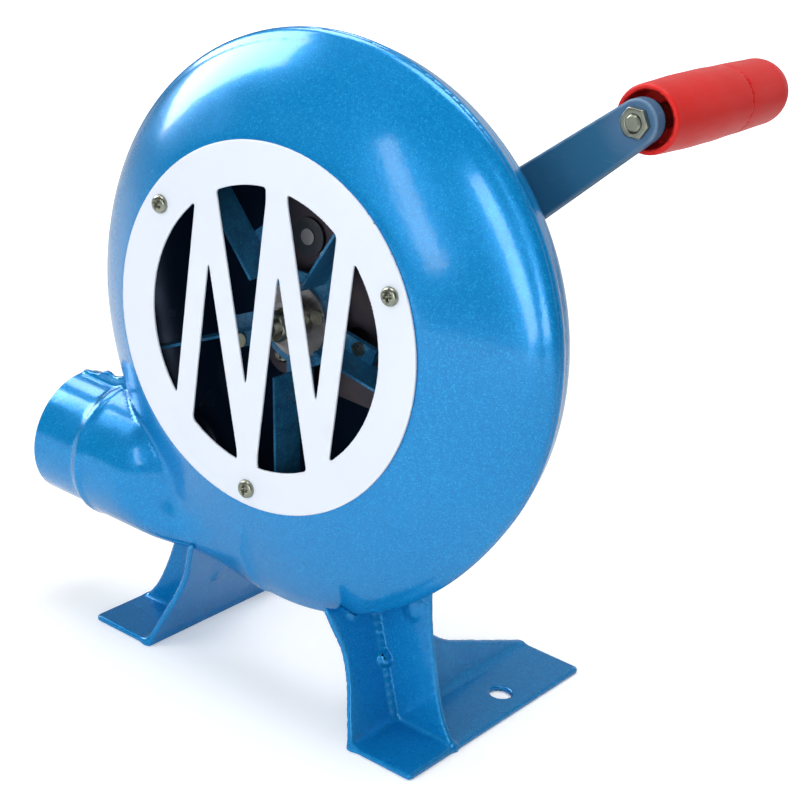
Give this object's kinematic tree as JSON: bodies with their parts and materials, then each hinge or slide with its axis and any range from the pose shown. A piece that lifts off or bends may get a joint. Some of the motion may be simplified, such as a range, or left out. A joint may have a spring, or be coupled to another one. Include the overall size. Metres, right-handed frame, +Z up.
{
  "type": "hand-cranked forge blower",
  "caption": "Hand-cranked centrifugal air blower for a coal forge: pressed round fan housing on two sheet legs, barred inlet guard, side outlet spout, rear crank with a turning grip.",
  "frame": {"origin": "on the floor plane under the feet, midway between the two foot bolt holes, directly under the fan axis", "axes": "+Z up; +Y towards the crank side, along the fan, idler, crank and grip axes; -X the way the outlet spout points"},
  "size_m": [0.2254, 0.1605, 0.2588],
  "materials": {
    "housing_paint": "metallic blue paint with fine sparkle, glossy",
    "leg_paint": "the same metallic blue paint, thin at the edges",
    "guard_paint": "off-white powder coat",
    "arm_paint": "dark blue-grey paint, satin",
    "fan_paint": "blue paint, satin",
    "grip_plastic": "red moulded plastic, satin gloss",
    "zinc": "bright zinc plate, slightly yellow",
    "plate_steel": "plain steel sheet, oiled",
    "gear_steel": "machined steel",
    "bush_brass": "turned, dull"
  },
  "bodies": {
    "housing": {"front_shell": "housing_paint", "rear_shell": "housing_paint", "left_leg": "leg_paint", "right_leg": "leg_paint", "inlet_guard": "guard_paint", "guard_screws": "zinc", "front_gear_plate": "plate_steel", "middle_gear_plate": "plate_steel", "rear_gear_plate": "plate_steel", "front_spacers": "zinc", "middle_spacers": "zinc", "rear_spacers": "zinc", "cage_bolts": "zinc", "cage_nuts": "zinc", "fan_front_bush": "bush_brass", "fan_rear_bush": "bush_brass", "idler_front_bush": "bush_brass", "idler_rear_bush": "bush_brass", "crank_front_bush": "bush_brass", "crank_bearing": "gear_steel", "bearing_screws": "zinc"},
    "fan": {"fan_shaft": "gear_steel", "fan_pinion": "gear_steel", "fan_hub": "gear_steel", "fan_spider": "fan_paint", "fan_blades": "fan_paint", "blade_rivets": "zinc", "hub_rivets": "zinc", "fan_washer": "zinc", "fan_nut": "zinc"},
    "idler": {"idler_shaft": "gear_steel", "idler_gear": "gear_steel", "idler_pinion": "gear_steel"},
    "crank": {"crank_gear": "gear_steel", "crank_shaft": "gear_steel", "thrust_washer": "zinc", "crank_arm": "arm_paint", "crank_washer": "zinc", "crank_nut": "zinc", "handle_spindle": "zinc", "handle_nut": "zinc", "spindle_washer": "zinc"},
    "grip": {"grip_body": "grip_plastic", "grip_cap": "grip_plastic"}
  },
  "joints": [
    {"name": "crank_spin", "type": "hinge", "parent": "housing", "child": "crank", "pos_m": [0.02656, -0.0233, 0.17638], "axis": [0, 1, 0], "continuous": true},
    {"name": "idler_spin", "type": "hinge", "parent": "housing", "child": "idler", "pos_m": [-0.00262, -0.0493, 0.18339], "axis": [0, 1, 0], "continuous": true},
    {"name": "fan_spin", "type": "hinge", "parent": "housing", "child": "fan", "pos_m": [0, -0.0593, 0.1535], "axis": [0, 1, 0], "continuous": true},
    {"name": "grip_spin", "type": "hinge", "parent": "crank", "child": "grip", "pos_m": [0.1022, 0.0107, 0.2459], "axis": [0, 1, 0], "continuous": true}
  ],
  "couplings": [
    {"joint": "idler_spin", "follows": "crank_spin", "ratio": -4},
    {"joint": "fan_spin", "follows": "crank_spin", "ratio": 16}
  ]
}
